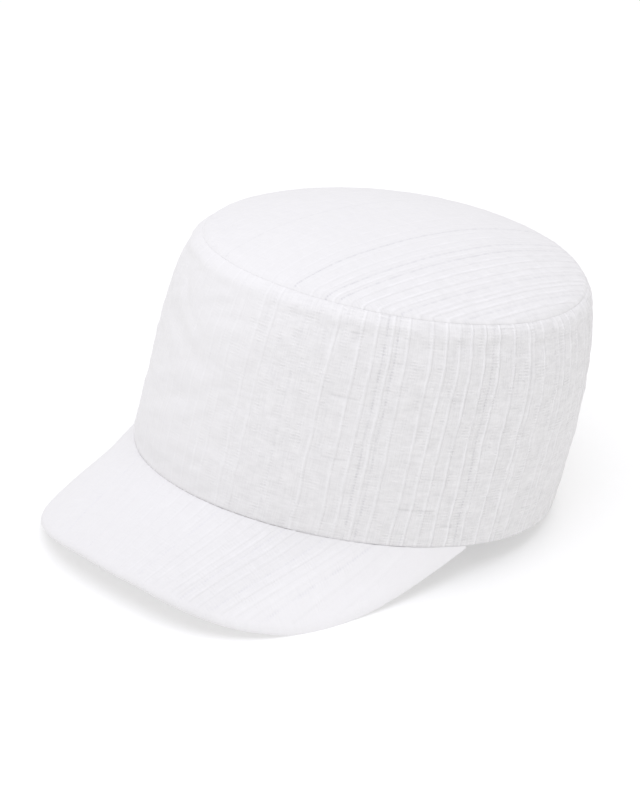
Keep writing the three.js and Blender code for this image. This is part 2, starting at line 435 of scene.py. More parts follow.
# %% Helper that lays a grid on a shape
def lay_cloth(name, points, cloth_mm, marks, capped=False):
    """Makes a closed piece from rows of points, in metres. cloth_mm is each point's place on the
    flat cloth, and marks are the named values that the material reads. A capped piece has its
    two open ends filled."""
    rows, columns = points.shape[0] - 1, points.shape[1] - 1
    bpy.ops.object.select_all(action="DESELECT")
    bpy.ops.mesh.primitive_grid_add(x_subdivisions=columns, y_subdivisions=rows, size=0.1)
    piece = bpy.context.object
    piece.name = name
    mesh = piece.data
    mesh.vertices.foreach_set("co", points.reshape(-1).astype(np.float32))
    corners = np.zeros(len(mesh.loops), np.int32)
    mesh.loops.foreach_get("vertex_index", corners)
    mesh.uv_layers[0].name = "cloth_mm"
    mesh.uv_layers[0].uv.foreach_set("vector", cloth_mm.reshape(-1, 2)[corners].ravel())
    for mark, values in marks.items():
        attribute = mesh.attributes.new(mark, "FLOAT", "POINT")
        attribute.data.foreach_set("value", np.broadcast_to(values, points.shape[:2]).ravel())
    bpy.ops.object.mode_set(mode="EDIT")
    bpy.ops.mesh.select_all(action="SELECT")
    bpy.ops.mesh.remove_doubles(threshold=2e-6)
    bpy.ops.mesh.dissolve_degenerate(threshold=1e-6)
    if capped:
        bpy.ops.mesh.select_all(action="DESELECT")
        bpy.ops.mesh.select_non_manifold()
        bpy.ops.mesh.edge_face_add()
        bpy.ops.mesh.select_all(action="SELECT")
    bpy.ops.mesh.normals_make_consistent(inside=False)
    bpy.ops.object.mode_set(mode="OBJECT")
    bpy.ops.object.shade_smooth()
    triangles = sum(len(face.vertices) - 2 for face in mesh.polygons)
    print(name, len(mesh.vertices), "points,", triangles, "triangles")
    return piece


SEED_STEP = (7.31, 3.17, 5.53)


def ripples(places, rows):
    """Soft noise at places in millimetres. Each row adds ripples, and is their height, the size
    of one along each axis, and a seed."""
    total = np.zeros(places.shape[:-1])
    for height, stretch, seed in rows:
        offset = Vector([seed * step for step in SEED_STEP])
        flat = (places / np.array(stretch)).reshape(-1, 3)
        values = [noise.noise(Vector(place) + offset) for place in flat]
        total += height * np.array(values).reshape(total.shape)
    return total


def flat_spot(across, along):
    """Places on the flat cloth, as points that the noise can read."""
    return np.stack([across, along, np.zeros_like(across)], -1)


# %% [markdown]
# ## The wall of the crown
# The wall is one strip of cloth, sewn into a ring at the centre back. Its lower edge is turned
# up into a hem, and its upper edge rolls into the seam with the top panel. The turned edge of
# that seam lies under the cloth, which raises a band just below the seam.
# That band is also painted a little whiter, as painted light.

# %% Wall columns
# Millimetres round the wall at mid height, for turns from the centre back and round to it
table_turns = np.radians(np.linspace(CENTRE_BACK - 360, CENTRE_BACK, 7201))
table_places = wall_point(table_turns, np.full_like(table_turns, 0.5), ())
table_steps = np.hypot(np.diff(table_places[:, 0]), np.diff(table_places[:, 1]))
table_arcs = np.concatenate([[0], np.cumsum(table_steps)])


def turns_to_arc(*turns):
    """Turns in degrees, as millimetres round the wall."""
    turns = [turn - 360 if turn > CENTRE_BACK else turn for turn in turns]
    return [float(np.interp(math.radians(turn), table_turns, table_arcs)) for turn in turns]


def to_arc(stripes):
    return [(turns_to_arc(turn)[0], strength) for turn, strength in stripes]


wall_cords = to_arc(WALL_CORDS + tuple(back_cords))
wall_ladders = to_arc(WALL_LADDERS + tuple(back_ladders))
wall_length = table_arcs[-1]
wall_places = stripe_columns(wall_cords + wall_ladders, 0, wall_length)
print("wall strip", round(wall_length, 1), "mm long,", len(wall_places), "columns")

# %% Wall rows
# A row is a height above the rim and a depth into the cloth. The rows go down the inside, round
# the hem, up the outside and over the seam's edge, and close where they began.
HEM_RADIUS = CLOTH / 2
SEAM_ROLL = (
    (1.6, 0), (1.1, 0.03), (0.7, 0.09), (0.4, 0.18), (0.18, 0.3), (0.04, 0.4), (0, 0.44),
)
HEM_DROP = 0.3
OUTER_ROWS, INNER_ROWS, HEM_ROWS = 70, 9, 9
INNER_FOOT, INNER_LAST = 4, 1.0

hem_angles = np.radians(np.linspace(0, 180, HEM_ROWS))
inner_heights = np.append(np.linspace(CROWN_HEIGHT, INNER_FOOT, INNER_ROWS), INNER_LAST)
outer_heights = np.linspace(HEM_DROP, CROWN_HEIGHT - SEAM_ROLL[0][0], OUTER_ROWS)
wall_heights = np.concatenate([
    inner_heights, HEM_DROP * (1 - np.sin(hem_angles)), outer_heights[1:],
    [CROWN_HEIGHT - below for below, _ in SEAM_ROLL[1:]], [CROWN_HEIGHT],
])
wall_depths = np.concatenate([
    np.full(len(inner_heights), CLOTH), HEM_RADIUS * (1 + np.cos(hem_angles)),
    np.zeros(OUTER_ROWS - 1), [depth for _, depth in SEAM_ROLL[1:]], [CLOTH],
])
hem_row = len(inner_heights) + len(hem_angles) // 2
climb = np.hypot(np.diff(wall_heights), np.diff(wall_depths))
wall_climb = np.concatenate([[0], np.cumsum(climb)])
wall_climb -= wall_climb[hem_row]
print(len(wall_heights), "rows up the wall")

# %% Where each wall point lies on the strip
# The threads don't run quite straight: on the wearer's left side they lean back under the seam,
# at its foot they lean again, and everywhere they wander a little.
SIDE_LEAN, SIDE_TURNS, SIDE_HEIGHTS = 2.3, (52, 66), (0.45, 0.82)
FOOT_LEAN, FOOT_TURN, FOOT_WIDTH, FOOT_HEIGHT = 1.6, 75, 18, 0.09
WANDERS = ((0.9, (90, 60, 1), 3), (0.5, (22, 16, 1), 4))
FIXED_AT_BACK = 30

strip_x, row_height = np.meshgrid(wall_places, np.clip(wall_heights / CROWN_HEIGHT, 0, 1))
row_depth, strip_y = (np.meshgrid(wall_places, rows)[1] for rows in (wall_depths, wall_climb))
from_back = np.minimum(strip_x, wall_length - strip_x)
loose = smooth_step(0, FIXED_AT_BACK, from_back)

lean = SIDE_LEAN * smooth_step(*turns_to_arc(*SIDE_TURNS), strip_x)
lean *= smooth_step(*SIDE_HEIGHTS, row_height)
from_foot = (strip_x - turns_to_arc(FOOT_TURN)[0]) / FOOT_WIDTH
lean += FOOT_LEAN * np.exp(-from_foot**2 - (row_height / FOOT_HEIGHT)**2)
lean = (lean + ripples(flat_spot(strip_x, row_height * CROWN_HEIGHT), WANDERS)) * loose
wall_turn = np.interp(strip_x + lean, table_arcs, table_turns)
print("threads lean at most", round(float(np.abs(lean).max()), 2), "mm")

# %% Relief of the wall
# Crinkles are long across the cloth and short up it, as the crosswise threads are the loose
# ones. Under the seam the turned edge puckers the cloth.
CORD_LIFT = 0.36
LADDER_DIP = 0.22
CORD_SHARP, LADDER_SHARP = 1.5, 1.2
BAND_LIFT = 0.6
BAND_TOP, BAND_FOOT = 5.4, 8.8
BAND_WAVE = ((1.6, (16, 1, 1), 17),)
WALL_CRINKLE = ((0.22, (9, 2.6, 1), 11), (0.3, (6, 5, 1), 12))
WALL_DRAG = ((0.35, (16, 5, 1), 13), (0.8, (30, 11, 1), 14))
WALL_SOFT = ((0.35, (38, 30, 1), 15),)
WALL_PUCKER = ((0.3, (5, 9, 1), 16),)
PUCKER_PLACE = 3.5
# Turns in degrees: the front left is smooth between these, and the right is crisp past these
SMOOTH_STARTS, SMOOTH_ENDS, CRISP_STARTS = (-95, -60), (24, -6), (45, 70)
# How much of each thing the smooth front left loses, the painted cord shade and the band's
# painted light among them. Drag is weak elsewhere, and slants.
STRIPE_CALM, CRINKLE_CALM, SHADE_CALM, BAND_CALM = 0.8, 0.4, 0.85, 0.6
DRAG_ELSEWHERE, DRAG_SLANT = 0.25, (0.9, 0.35)
# From turn, to turn, height and strength
SLUBS = (
    (17, 20, 0.69, 0.7), (28, 31, 0.65, 0.8), (35, 43, 0.63, 0.9), (36, 43, 0.36, 0.9),
    (36, 40, 0.90, 1.0), (57, 72, 0.69, 0.8), (58, 68, 0.175, 1.0), (77, 79, 0.24, 0.8),
    (24, 30, 0.42, 0.6), (70, 74, 0.10, 0.9), (54, 57, 0.80, 0.6), (79, 82, 0.86, 0.9),
)
SLUB_END = 1.5
HAIR = 0.01


def slub_marks(arc, height):
    """Short crosswise threads that are thicker than the rest, each on the nearest face row."""
    marks = np.zeros_like(arc)
    face_rows = np.flatnonzero(row_depth[:, 0] < HAIR)
    for start, stop, level, strength in SLUBS:
        low, high = turns_to_arc(start, stop)
        row = face_rows[np.argmin(np.abs(height[face_rows, 0] - level))]
        along = smooth_step(low - SLUB_END, low + SLUB_END, arc[row])
        along -= smooth_step(high - SLUB_END, high + SLUB_END, arc[row])
        marks[row] = np.maximum(marks[row], strength * along)
    return marks


def seam_band(arc, height):
    """1 where the turned edges of the seam lie under the wall, 0 below them."""
    below_seam = (1 - height) * CROWN_HEIGHT + ripples(flat_spot(arc, 0 * arc), BAND_WAVE)
    return 1 - smooth_step(BAND_TOP, BAND_FOOT, below_seam)


def front_left_part(arc):
    """1 at the front and the wearer's right, where the cloth is drawn smooth in soft folds."""
    part = smooth_step(*turns_to_arc(*SMOOTH_ENDS), arc)
    return part * smooth_step(*turns_to_arc(*SMOOTH_STARTS), arc)


def right_part(arc):
    """1 on the wearer's left side, which is the right of the picture, where threads stand out."""
    return smooth_step(*turns_to_arc(*CRISP_STARTS), arc)


def wall_relief(arc, height):
    """Millimetres outwards. The front left has weak stripes and crinkles, and slanting drag."""
    level = height * CROWN_HEIGHT
    spot = flat_spot(arc, level)
    slanted = flat_spot(arc + level * DRAG_SLANT[0], level - arc * DRAG_SLANT[1])
    below_seam = CROWN_HEIGHT - level
    front_left = front_left_part(arc)
    stripes = CORD_LIFT * stripe_profile(arc, wall_cords, CORD_SHARP)
    stripes -= LADDER_DIP * stripe_profile(arc, wall_ladders, LADDER_SHARP)
    relief = stripes * (1 - STRIPE_CALM * front_left) + ripples(spot, WALL_SOFT)
    relief += ripples(spot, WALL_CRINKLE) * (1 - CRINKLE_CALM * front_left)
    relief += ripples(slanted, WALL_DRAG) * blend(DRAG_ELSEWHERE, 1, front_left)
    near_seam = np.exp(-((below_seam - PUCKER_PLACE) / PUCKER_PLACE)**2)
    puckers = ripples(spot, WALL_PUCKER) * near_seam
    return relief * loose + puckers + BAND_LIFT * seam_band(arc, height)


# %% Build the wall
def outwards(points, axis_y):
    """Level unit vectors from the crown's axis to each point."""
    away = points.copy()
    away[..., 1] -= axis_y
    away[..., 2] = 0
    return away / np.linalg.norm(away, axis=-1, keepdims=True)


BACK_SEAM_DEPTH, BACK_SEAM_WIDTH = 0.7, 0.8
# The relief starts this far above the rim, and this far below a faint and a full seam. It is
# gone from the inside of the wall, fading over the cloth's thickness divided by INSIDE_FADE.
INSIDE_FADE = 1.9
RELIEF_FROM_RIM = 2.5
RELIEF_FROM_FAINT, RELIEF_FROM_FULL = 6.0, 1.2
SEAM_LIFT_REACH = 4


def wall_piece_points():
    outer = wall_point(wall_turn, row_height)
    direction = outwards(outer, SEAM_SHIFT_BACK * row_height)
    face = np.clip(1 - row_depth / CLOTH * INSIDE_FADE, 0, 1)
    above_rim = row_height * CROWN_HEIGHT
    near_seam = smooth_step(CROWN_HEIGHT - SEAM_LIFT_REACH, CROWN_HEIGHT, above_rim)
    groove = seam_depth(wall_turn)
    rolled = (row_depth < CLOTH - HAIR) & (row_height > 0.5)
    depth = np.where(rolled, row_depth * groove, row_depth)
    below_seam = CROWN_HEIGHT - above_rim
    clear_of_seam = blend(RELIEF_FROM_FAINT, RELIEF_FROM_FULL, groove)
    fade = smooth_step(0, RELIEF_FROM_RIM, above_rim) * smooth_step(0, clear_of_seam, below_seam)
    relief = wall_relief(strip_x, row_height) * face * fade
    back_seam = BACK_SEAM_DEPTH * np.exp(-(from_back / BACK_SEAM_WIDTH)**2) * face
    inwards = depth + back_seam - relief
    placed = outer - direction * inwards[..., None]
    placed[..., 2] -= MITRE * row_height * np.clip(depth, 0, CLOTH)
    placed[..., 2] += (SEAM_GAP - PRESSED_GAP) / 2 * near_seam
    placed[:, -1] = placed[:, 0]
    return round_shoulder(placed, wall_turn, below_seam, direction)


WALL_CRISP, FRONT_LEFT_LOSES, RIGHT_GAINS = 0.75, 0.55, 0.25

wall_front_left = front_left_part(strip_x)
wall_cord_marks = stripe_profile(strip_x, wall_cords, CORD_SHARP)
crisp = WALL_CRISP - FRONT_LEFT_LOSES * wall_front_left + RIGHT_GAINS * right_part(strip_x)
crown_side = lay_cloth(
    "crown_side_cloth",
    on_table(wall_piece_points()),
    np.stack([strip_x, strip_y], -1),
    {
        "openwork": stripe_profile(strip_x, wall_ladders),
        "cord": wall_cord_marks * (1 - STRIPE_CALM * wall_front_left),
        # A painted shadow line beside each cord, weaker at the front left
        "painted_shade": cord_painted_shade(strip_x, wall_cords) * (1 - SHADE_CALM * wall_front_left),
        "fringe": fringe_profile(strip_x, wall_ladders),
        "slub": slub_marks(strip_x, row_height),
        # Painted light: the band under the seam is whitened, less at the front left
        "painted_light": seam_band(strip_x, row_height) * (1 - BAND_CALM * wall_front_left),
        "crisp": crisp,
    },
)
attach(crown_side, "root")
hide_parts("crown_side")

# %% [markdown]
# ## The top panel
# The top is an oval of the same cloth, cut with its stripes running front to back and sewn round
# its edge. It domes a little, so the stripes bow. The grid's columns follow the stripes, and its
# edge rows roll down into the seam.

# %% Chart of the top's stripes
# Millimetres to the wearer's left of the middle line
TOP_LADDERS = ((-25, 0.45), (15, 1), (31, 0.9), (36.5, 0.9), (56.5, 0.7), (69, 0.6))
TOP_CORDS = (
    (-71, 0.6), (-65.5, 0.7), (-60, 0.6), (-54, 0.7), (-48.5, 0.6), (-43, 0.7), (-37, 0.7),
    (-31, 0.6), (-28, 0.5), (-19, 0.6), (-13.5, 0.6), (-10, 0.5), (-4, 0.6), (2, 0.6),
    (8.5, 0.6), (12.2, 0.4), (18, 0.5), (24, 0.7), (28, 0.6), (34, 0.7), (40.5, 0.8), (45, 0.9),
    (50, 0.9), (53.5, 0.6), (60, 0.7), (62.5, 0.9), (66, 0.8), (72, 0.9), (74.6, 0.6),
)
# Stripes to the right of BOW_TURNS bow one way and those to the left of it the other way. The
# outermost, at BOW_STOPS, follow the seam and don't bow.
BOW_CENTRE, BOW_REACH, BOW = 20.0, 80.0, 5.0
BOW_TURNS, BOW_STOPS, STOP_POWER = 35, 78, 6
ROLL_WIDTH = 1.3
PANEL_ROLL = ((0.35, 0.015), (0.65, 0.05), (0.9, 0.11), (1.1, 0.2), (1.24, 0.3), (1.29, 0.35))


def bowed(place, y):
    """The x of a stripe of the top panel, which bows towards the panel's ends."""
    bend = BOW * ((y - BOW_CENTRE) / BOW_REACH)**2
    bend = bend * (1 - np.clip(place, 0, 2 * BOW_TURNS) / BOW_TURNS)
    return place + bend * (1 - (np.abs(place) / BOW_STOPS)**STOP_POWER)


PANEL_INNER = 1 - ROLL_WIDTH / SEAM_HALF_WIDTH


def inside_panel(x, y):
    return top_place(x, y)[1] < PANEL_INNER


HALVINGS = 40


def run_length(line, inside, start, stop):
    """How far each line runs inside a shape from start, with stop outside it, by halving."""
    near, far = start, stop
    for _ in range(HALVINGS):
        middle = (near + far) / 2
        held = inside(line(middle), middle)
        near, far = np.where(held, middle, near), np.where(held, far, middle)
    return near


# %% Top columns
# Two places that lie past the panel's front and back
PAST_FRONT, PAST_BACK = -100, 110

panel_turn_table = np.radians(np.linspace(0, 180, 3601))
panel_edge_x, panel_edge_y = oval(SEAM_HALF_WIDTH, SEAM_HALF_LENGTH, panel_turn_table)
widest = int(np.argmax(panel_edge_x))
WIDEST_Y = panel_edge_y[widest] + SEAM_SHIFT_BACK
PANEL_HALF = panel_edge_x[widest] - ROLL_WIDTH
panel_places = crowded_columns(TOP_LADDERS + TOP_CORDS, PANEL_HALF, end_columns=13)


def panel_end(past):
    """The y where each stripe of the panel ends, on the way to a y past the panel."""
    return run_length(lambda y: bowed(panel_places, y), inside_panel, WIDEST_Y, past)


front_end, back_end = panel_end(PAST_FRONT), panel_end(PAST_BACK)
print(len(panel_places), "columns, the longest",
      round(float((back_end - front_end).max()), 1), "mm")

# %% Relief of the top panel
TOP_CORD_GAIN = 1.4
TOP_RIPPLES = ((0.09, (1.9, 9, 1), 21), (0.12, (4.5, 6, 1), 22), (0.4, (30, 40, 1), 23))
TOP_PUCKER = ((0.3, (6, 6, 1), 24),)
TOP_PUCKER_REACH = 6
TOP_EDGE_FADE = (0.5, 3)
# The stripes are weak on the wearer's right, which is the picture's left
TOP_WEAK, TOP_STRONG, TOP_GROWS = 0.2, 0.7, (-20, 50)


def top_strength(place):
    return blend(TOP_WEAK, TOP_STRONG, smooth_step(*TOP_GROWS, place))


def panel_relief(place, y, part):
    """Millimetres upwards: stripes, ripples across them, and puckers beside the seam."""
    to_edge = (1 - part) * SEAM_HALF_LENGTH
    stripes = CORD_LIFT * stripe_profile(place, TOP_CORDS, CORD_SHARP)
    stripes -= LADDER_DIP * stripe_profile(place, TOP_LADDERS, LADDER_SHARP)
    relief = TOP_CORD_GAIN * top_strength(place) * stripes
    relief += ripples(flat_spot(y, place), TOP_RIPPLES)
    near_seam = np.exp(-(to_edge / TOP_PUCKER_REACH)**2)
    relief += ripples(flat_spot(place, y), TOP_PUCKER) * near_seam
    return relief * smooth_step(*TOP_EDGE_FADE, to_edge)


# %% Build the top panel
TOP_ROWS, TOP_UNDER_ROWS = 110, 12
EDGE_CROWD = 0.82
TOP_SHADE, TOP_FRINGE = 0.8, 0.3
TOP_SMOOTH, TOP_CRISP, CRISP_GROWS = 0.25, 0.5, (10, 60)


def panel_ring(end_y):
    """Rows of the rolled edge at one end of every stripe, from the panel's face outwards."""
    x = bowed(panel_places, end_y)
    pressed = (SEAM_GAP - PRESSED_GAP) / 2

    def ring_place(out):
        grown = 1 + (1 / PANEL_INNER - 1) * out / ROLL_WIDTH
        return top_place(x * grown, (end_y - SEAM_SHIFT_BACK) * grown + SEAM_SHIFT_BACK)

    rows = []
    for out, drop in PANEL_ROLL:
        turn, part = ring_place(out)
        row = top_point(turn, part)
        row[:, 2] -= drop * seam_depth(turn) + pressed * out / ROLL_WIDTH
        rows.append(row)
    turn, part = ring_place(ROLL_WIDTH - CLOTH)
    inner = top_point(turn, part)
    inner[:, 2] = top_point(turn, np.ones_like(part))[:, 2] - MITRE * CLOTH - pressed
    return rows + [inner]


def panel_rows():
    """All rows of the top panel: back edge, face, front edge and the underside."""
    back_ring, front_ring = panel_ring(back_end), panel_ring(front_end)
    along = np.linspace(-1, 1, TOP_ROWS)
    share = 0.5 + 0.5 * (EDGE_CROWD * along + (1 - EDGE_CROWD) * np.sin(along * np.pi / 2))
    y = blend(back_end, front_end, share[:, None])
    place = np.broadcast_to(panel_places, y.shape)
    turn, part = top_place(bowed(place, y), y)
    face = top_point(turn, part)
    face[..., 2] += panel_relief(place, y, part)
    under_share = np.linspace(1, 0, TOP_UNDER_ROWS)[1:-1]
    under_y = blend(back_ring[-1][:, 1], front_ring[-1][:, 1], under_share[:, None])
    under_x = bowed(panel_places, under_y)
    blend_x = blend(back_ring[-1][:, 0], front_ring[-1][:, 0], under_share[:, None])
    under_turn, under_part = top_place(under_x, under_y)
    under_part = np.clip(under_part, 0, 1)
    under = top_point(under_turn, under_part)
    under[..., 2] -= CLOTH * blend(1, MITRE, under_part)
    inner_part = np.clip(4 * under_share * (1 - under_share), 0, 1)
    under[..., 0] = blend(blend_x, under_x, inner_part[:, None])
    rows = np.array([back_ring[-1], *back_ring[-2::-1], *face, *front_ring, *under, back_ring[-1]])
    turn, part = top_place(rows[..., 0], rows[..., 1])
    direction = outwards(rows, SEAM_SHIFT_BACK)
    return round_shoulder(rows, turn, (1 - part) * SEAM_HALF_LENGTH, direction)


panel_points = panel_rows()
panel_y = panel_points[..., 1]
panel_place = np.broadcast_to(panel_places, panel_y.shape)
crown_top = lay_cloth(
    "crown_top_cloth",
    on_table(panel_points),
    np.stack([panel_place, panel_y], -1),
    {
        "openwork": stripe_profile(panel_place, TOP_LADDERS),
        "cord": top_strength(panel_place) * stripe_profile(panel_place, TOP_CORDS, CORD_SHARP),
        # A painted shadow line beside each cord
        "painted_shade": TOP_SHADE * top_strength(panel_place) * cord_painted_shade(panel_place, TOP_CORDS),
        "fringe": TOP_FRINGE * fringe_profile(panel_place, TOP_LADDERS),
        "slub": 0,
        "painted_light": 0,
        "crisp": blend(TOP_SMOOTH, TOP_CRISP, smooth_step(*CRISP_GROWS, panel_place)),
    },
)
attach(crown_top, "root")
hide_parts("crown_top")

# %% [markdown]
# ## The peak
# The peak is a stiff board between two layers of the same cloth, sewn under the front of the rim.
# The cloth is drawn tight over the board, so it is the smoothest part of the cap. Its stripes
# lean towards the middle as they run forward, and its edge is round where the cloth turns under.

# %% Chart of the peak's stripes
# Millimetres to the wearer's left of the middle line, where each stripe leaves the rim
PEAK_LADDERS = ((-58, 0.6), (-38, 0.8), (-20, 0.5), (17, 0.8), (41.5, 1), (54.5, 0.9), (67, 0.8))
PEAK_CORDS = (
    (-77, 0.6), (-72, 0.6), (-66, 0.7), (-53, 0.6), (-49, 0.7), (-43.5, 0.6), (-32, 0.6),
    (-27, 0.7), (-13.5, 0.6), (-7.5, 0.7), (-2, 0.6), (4, 0.6), (10.5, 0.6), (14, 0.5),
    (22, 0.7), (26, 0.7), (31, 0.6), (35.5, 0.8), (38.5, 0.9), (44.5, 1), (49, 0.7), (57.5, 0.9),
    (61.5, 0.7), (64.2, 0.6), (70, 0.8), (74.5, 0.7),
)
STRIPE_LEAN = math.tan(math.radians(9.5))
LEAN_GROWS, LEAN_FADES = 24, (60, 81)
PEAK_ROUND = PEAK_THICKNESS / 2
# The peak thins out to cloth alone at its ends, over this stretch in front of them
END_ROUND, END_THINS = 0.25, (2, 16)
PAST_PEAK = -150
PEAK_ROWS, PEAK_UNDER_ROWS, PEAK_EDGE_STEPS = 44, 12, 12

edge_across = np.linspace(0, 1, 2001)
peak_edge_x, peak_edge_y = peak_edge(edge_across)
edge_slope_x, edge_slope_y = np.gradient(peak_edge_x), np.gradient(peak_edge_y)
edge_size = np.hypot(edge_slope_x, edge_slope_y)
edge_normal_x, edge_normal_y = edge_slope_y / edge_size, -edge_slope_x / edge_size
edge_round = smooth_step(*END_THINS, peak_edge_y[-1] - peak_edge_y)
edge_round = PEAK_ROUND * blend(END_ROUND, 1, edge_round)
face_edge_x = peak_edge_x - edge_normal_x * edge_round
face_edge_y = peak_edge_y - edge_normal_y * edge_round
PEAK_HALF = float(face_edge_x.max())
print("peak", round(2 * float(peak_edge_x.max()), 1), "mm wide,",
      round(RIM_HALF_LENGTH + PEAK_REACH, 1), "mm forward of the middle")


def rim_line(x):
    """The y of the rim over an x of the peak."""
    turn = np.interp(np.abs(x), front_rim_x, front_turns)
    return -RIM_HALF_LENGTH * np.cos(turn)


def leaning(place, y):
    """The x of a stripe that leaves the rim at place, at a y further forward."""
    forward = np.clip(rim_line(place) - y, 0, None)
    lean = STRIPE_LEAN * np.tanh(place / LEAN_GROWS)
    return place - forward * lean * (1 - smooth_step(*LEAN_FADES, np.abs(place)))


def inside_peak(x, y):
    return y > np.interp(np.abs(x), face_edge_x, face_edge_y)


# %% Peak columns and rows
peak_places = crowded_columns(PEAK_LADDERS + PEAK_CORDS, PEAK_HALF, end_columns=12)
peak_root = rim_line(peak_places)
peak_front = run_length(lambda y: leaning(peak_places, y), inside_peak, peak_root, PAST_PEAK)
peak_round = np.interp(np.abs(leaning(peak_places, peak_front)), face_edge_x, edge_round)
print(len(peak_places), "columns, the longest",
      round(float((peak_root - peak_front).max()), 1), "mm")

# %% Relief of the peak
# The cloth is drawn tight, so its cords and ladders are lower than on the crown
PEAK_CORD_GAIN, PEAK_LADDER_GAIN = 0.6, 0.7
PEAK_RIPPLES = ((0.03, (2.2, 9, 1), 31), (0.05, (5, 6, 1), 32), (0.3, (28, 34, 1), 33))
PEAK_EDGE_FADE = 2.5


def peak_relief(place, y, edge_gap):
    """Millimetres upwards, fading out before the round edge."""
    relief = PEAK_CORD_GAIN * CORD_LIFT * stripe_profile(place, PEAK_CORDS, CORD_SHARP)
    relief -= PEAK_LADDER_GAIN * LADDER_DIP * stripe_profile(place, PEAK_LADDERS, LADDER_SHARP)
    relief += ripples(flat_spot(y, place), PEAK_RIPPLES)
    return relief * smooth_step(0, PEAK_EDGE_FADE, edge_gap)


# %% Build the peak
def peak_ring(front):
    """Rows of the round front edge, from the upper face over to the under face."""
    x = leaning(peak_places, front)
    away_x = np.interp(np.abs(x), face_edge_x, edge_normal_x) * np.sign(x)
    away_y = np.interp(np.abs(x), face_edge_x, edge_normal_y)
    rows = []
    for angle in np.radians(np.linspace(0, 180, PEAK_EDGE_STEPS + 1)[1:]):
        out, drop = peak_round * math.sin(angle), peak_round * (1 - math.cos(angle))
        x_out, y_out = x + away_x * out, front + away_y * out
        rows.append(np.stack([x_out, y_out, peak_height(x_out, y_out) - drop], -1))
    return rows


def peak_piece_rows():
    """All rows of the peak: the part tucked under the rim, the face, the edge and the under."""
    share = np.linspace(0, 1, PEAK_ROWS)[:, None]
    y = blend(peak_root, peak_front, share)
    place = np.broadcast_to(peak_places, y.shape)
    x = leaning(place, y)
    level = peak_height(x, y)
    face = np.stack([x, y, level + peak_relief(place, y, y - peak_front)], -1)
    under_share = np.linspace(1, 0, PEAK_UNDER_ROWS)[1:, None]
    under_y = blend(peak_root, peak_front, under_share)
    under_x = leaning(np.broadcast_to(peak_places, under_y.shape), under_y)
    under = np.stack([under_x, under_y, peak_height(under_x, under_y) - 2 * peak_round], -1)
    root = face[0]
    shrink = 1 - PEAK_TUCK / np.hypot(root[:, 0], root[:, 1])
    tuck_top = np.stack([root[:, 0] * shrink, root[:, 1] * shrink, level[0]], -1)
    tuck_foot = tuck_top - peak_round[:, None] * [0, 0, 2]
    return np.array([tuck_top, *face, *peak_ring(peak_front), *under, tuck_foot, tuck_top])


PEAK_WEAK, PEAK_GROWS = 0.25, (-35, 25)
PEAK_CORD, PEAK_SHADE, PEAK_FRINGE = 0.32, 0.42, 0.3
PEAK_SMOOTH, PEAK_CRISP, PEAK_CRISP_GROWS = 0.13, 0.28, (-20, 40)
# The middle of the peak is painted a little grey, as shade. The wearer's left end, which turns
# away from the lamp, is painted whiter, as light.
PAINTED_GREY, PAINTED_GREY_GROWS, PAINTED_GREY_FADES = 0.3, (-70, -25), (45, 65)
PAINTED_LIGHT_END, PAINTED_LIGHT_GROWS = 6, (50, 84)

peak_points = peak_piece_rows()
peak_y = peak_points[..., 1]
peak_place = np.broadcast_to(peak_places, peak_y.shape)
on_face = (np.arange(len(peak_points)) < PEAK_ROWS).astype(float)[:, None]
strength = blend(PEAK_WEAK, 1, smooth_step(*PEAK_GROWS, peak_place)) * on_face
cord_marks = strength * stripe_profile(peak_place, PEAK_CORDS, CORD_SHARP)
peak_painted_shade = PAINTED_GREY * (smooth_step(*PAINTED_GREY_GROWS, peak_place) - smooth_step(*PAINTED_GREY_FADES, peak_place))
peak = lay_cloth(
    "peak_cloth",
    on_table(peak_points),
    np.stack([peak_place, peak_y], -1),
    {
        "openwork": stripe_profile(peak_place, PEAK_LADDERS) * on_face,
        "cord": PEAK_CORD * cord_marks,
        # Painted shade beside the cords and over the middle of the peak
        "painted_shade": PEAK_SHADE * strength * cord_painted_shade(peak_place, PEAK_CORDS) + peak_painted_shade,
        "fringe": PEAK_FRINGE * fringe_profile(peak_place, PEAK_LADDERS) * on_face,
        "slub": 0,
        # Painted light at the wearer's left end of the peak
        "painted_light": PAINTED_LIGHT_END * smooth_step(*PAINTED_LIGHT_GROWS, peak_place),
        "crisp": blend(PEAK_SMOOTH, PEAK_CRISP, smooth_step(*PEAK_CRISP_GROWS, peak_place)),
    },
    capped=True,
)
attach(peak, "root")
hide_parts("peak")

# %% [markdown]
# ## The cloth
# All three pieces are one white cotton. To the eye it is dull and bright, with dense cords that
# are a little whiter than the ground. Hollows of the weave are painted grey as shade, and so are
# the openwork columns, where the shaded inside shows between the threads. The pattern reads the
# flat cloth's millimetres, so threads follow every curve.

# %% Helpers for colours and nodes
def to_linear(hex_colour):
    """An sRGB hex colour as linear red, green, blue and alpha."""
    parts = [int(hex_colour[i:i + 2], 16) / 255 for i in (1, 3, 5)]
    return [p / 12.92 if p <= 0.04045 else ((p + 0.055) / 1.055)**2.4 for p in parts] + [1.0]


def set_inputs(tree, node, inputs):
    """Sets a node's inputs, each to a value or to a link from a socket."""
    for key, value in inputs.items():
        if isinstance(value, bpy.types.NodeSocket):
            tree.links.new(value, node.inputs[key])
        else:
            node.inputs[key].default_value = value


def add_node(tree, kind, settings, inputs=None):
    """Adds a node, with its own properties in settings."""
    node = tree.nodes.new(kind)
    for key, value in settings.items():
        setattr(node, key, value)
    set_inputs(tree, node, inputs or {})
    return node


# %% White cotton stripe cloth
RUNG_PITCH, RIB_PITCH = 1.22, 1.25
# The size of one patch of each part of the pattern, across and along the stripes
HOLE_PATCH, RIB_PATCH, RIB_END, CRINKLE = (5, 3.2), (5, 9), (2.4, 2.4), (5, 1.6)
BLOTCH, WARP, CORD_GAP = (9, 5), (0.5, 11), (6, 14)
